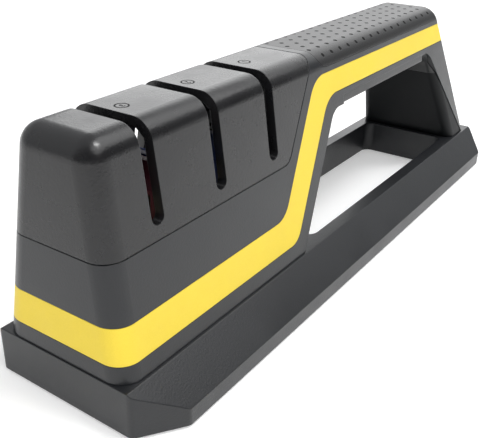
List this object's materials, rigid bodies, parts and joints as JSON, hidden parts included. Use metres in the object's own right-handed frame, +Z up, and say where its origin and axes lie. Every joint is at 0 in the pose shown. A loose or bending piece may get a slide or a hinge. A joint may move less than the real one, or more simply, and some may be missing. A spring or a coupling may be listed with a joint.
{
  "type": "knife sharpener",
  "caption": "Hand-held pull-through knife sharpener: a slotted sharpening head and a bridge handle on a flared base, with skewed grinding wheels inside.",
  "frame": {"origin": "on the table, under the centre of the base", "axes": "+X along the base from the sharpening head to the rear of the handle, +Y across the base to the far side, +Z up"},
  "size_m": [0.22, 0.0588, 0.0675],
  "materials": {
    "base_plastic": "fine satin texture",
    "foot_rubber": "matt",
    "screw_steel": "plain turned",
    "body_plastic": "fine satin texture",
    "head_plastic": "semi-gloss leather grain",
    "accent_plastic": "fine satin texture",
    "grip_rubber": "soft touch with dimples",
    "liner_plastic": "fine satin texture",
    "panel_plastic": "smooth satin",
    "frame_plastic": "as moulded",
    "coarse_plastic": "as moulded",
    "medium_plastic": "as moulded",
    "fine_plastic": "as moulded",
    "carbide": "ground edges",
    "axle_steel": "drawn",
    "spacer_plastic": "as moulded",
    "medium_stone": "fine abrasive grain",
    "fine_stone": "fine abrasive grain"
  },
  "bodies": {
    "housing": {"base_tray": "base_plastic", "foot_front_near": "foot_rubber", "foot_front_far": "foot_rubber", "foot_rear_near": "foot_rubber", "foot_rear_far": "foot_rubber", "base_screws": "screw_steel", "body_shell": "body_plastic", "head_cover": "head_plastic", "accent_band": "accent_plastic", "grip_pad": "grip_rubber", "handle_liner": "liner_plastic", "leg_panel": "panel_plastic", "stage_frame": "frame_plastic", "coarse_carrier": "coarse_plastic", "medium_carrier": "medium_plastic", "fine_carrier": "fine_plastic", "carbide_near": "carbide", "carbide_far": "carbide", "carbide_screws": "screw_steel"},
    "medium_wheels": {"medium_axle": "axle_steel", "medium_spacer": "spacer_plastic", "medium_wheel_near": "medium_stone", "medium_wheel_far": "medium_stone"},
    "fine_wheels": {"fine_axle": "axle_steel", "fine_spacer": "spacer_plastic", "fine_wheel_near": "fine_stone", "fine_wheel_far": "fine_stone"}
  },
  "joints": [
    {"name": "medium_wheels_spin", "type": "hinge", "parent": "housing", "child": "medium_wheels", "pos_m": [-0.067, 0, 0.0412], "axis": [0.866, 0.5, 0], "continuous": true},
    {"name": "fine_wheels_spin", "type": "hinge", "parent": "housing", "child": "fine_wheels", "pos_m": [-0.0909, 0, 0.0412], "axis": [0.866, 0.5, 0], "continuous": true}
  ]
}
